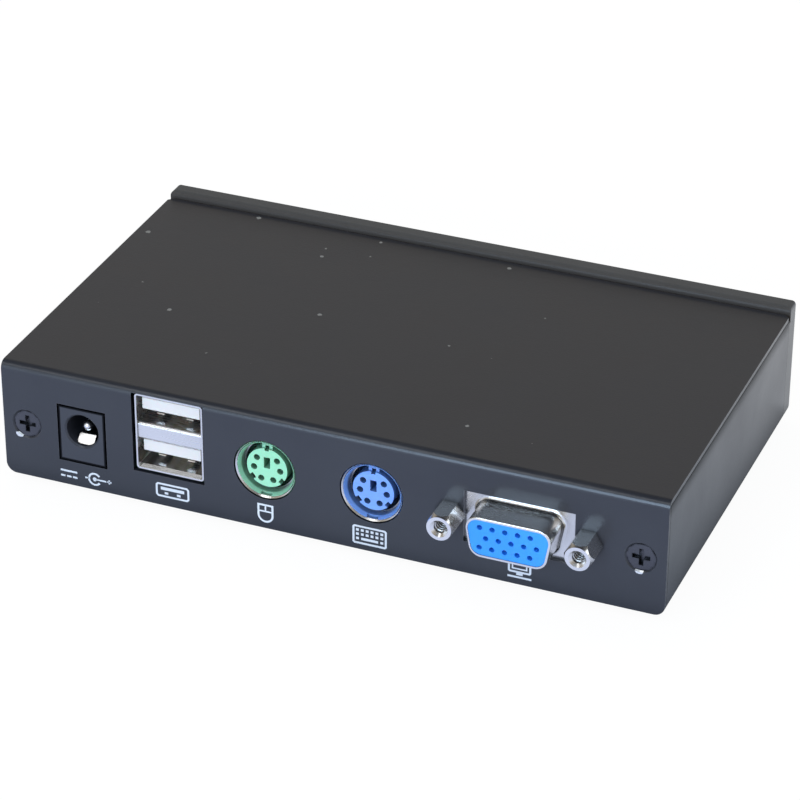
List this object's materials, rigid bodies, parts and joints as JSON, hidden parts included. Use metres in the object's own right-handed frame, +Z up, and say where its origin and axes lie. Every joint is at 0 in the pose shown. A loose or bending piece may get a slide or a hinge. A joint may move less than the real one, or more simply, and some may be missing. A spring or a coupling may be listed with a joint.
{
  "type": "kvm extender transmitter",
  "caption": "Small sheet-steel box with a port panel for power, USB, mouse, keyboard and monitor plugs, and a plastic end bezel with the line and computer sockets.",
  "frame": {"origin": "middle of the part's bounding box in plan, at the underside of the rubber feet", "axes": "+X along the port panel from the power jack to the monitor socket, -Y out of the port panel, +Z up"},
  "size_m": [0.1254, 0.08, 0.0255],
  "materials": {
    "case_paint": "satin, near black",
    "bezel_plastic": "fine matt grain",
    "screw_black": "black, semi gloss",
    "screw_steel": "plated",
    "foot_rubber": "matt",
    "board_green": "solder mask",
    "jack_plastic": "smooth",
    "socket_nickel": "bright nickel",
    "port_white": "smooth",
    "contact_gold": "gold flash",
    "mouse_mint": "smooth",
    "keyboard_blue": "smooth",
    "video_blue": "smooth",
    "chip_black": "moulded",
    "can_aluminium": "bright",
    "ferrite_grey": "matt",
    "lamp_green": "clear tinted"
  },
  "bodies": {
    "root": {"base_tray": "case_paint", "top_cover": "case_paint", "end_bezel": "bezel_plastic", "panel_screws": "screw_black", "bezel_screws": "screw_black", "board_screws": "screw_steel", "board_standoffs": "screw_steel", "rubber_feet": "foot_rubber", "power_jack_body": "jack_plastic", "power_jack_pin": "socket_nickel", "power_jack_spring": "socket_nickel", "usb_stack_shell": "socket_nickel", "usb_stack_divider": "socket_nickel", "usb_stack_insulator": "port_white", "usb_stack_contacts": "contact_gold", "mouse_socket_body": "mouse_mint", "mouse_socket_shield": "socket_nickel", "mouse_socket_contacts": "contact_gold", "keyboard_socket_body": "keyboard_blue", "keyboard_socket_shield": "socket_nickel", "keyboard_socket_contacts": "contact_gold", "monitor_socket_shell": "socket_nickel", "monitor_socket_insulator": "video_blue", "monitor_socket_contacts": "contact_gold", "monitor_socket_brackets": "socket_nickel", "monitor_socket_jackscrews": "socket_nickel", "computer_video_shell": "socket_nickel", "computer_video_insulator": "video_blue", "computer_video_contacts": "contact_gold", "computer_video_brackets": "socket_nickel", "computer_video_jackscrews": "socket_nickel", "link_socket_shield": "socket_nickel", "link_socket_body": "jack_plastic", "link_socket_contacts": "contact_gold", "computer_usb_shell": "socket_nickel", "computer_usb_insulator": "jack_plastic", "computer_usb_contacts": "contact_gold", "status_holder": "chip_black", "status_lamps": "lamp_green", "status_leads": "socket_nickel", "circuit_board": "board_green", "main_controller": "chip_black", "line_drivers": "chip_black", "controller_crystal": "can_aluminium", "voltage_regulator": "chip_black", "filter_capacitors": "can_aluminium", "power_inductor": "ferrite_grey", "chip_resistors": "chip_black"}
  },
  "joints": []
}
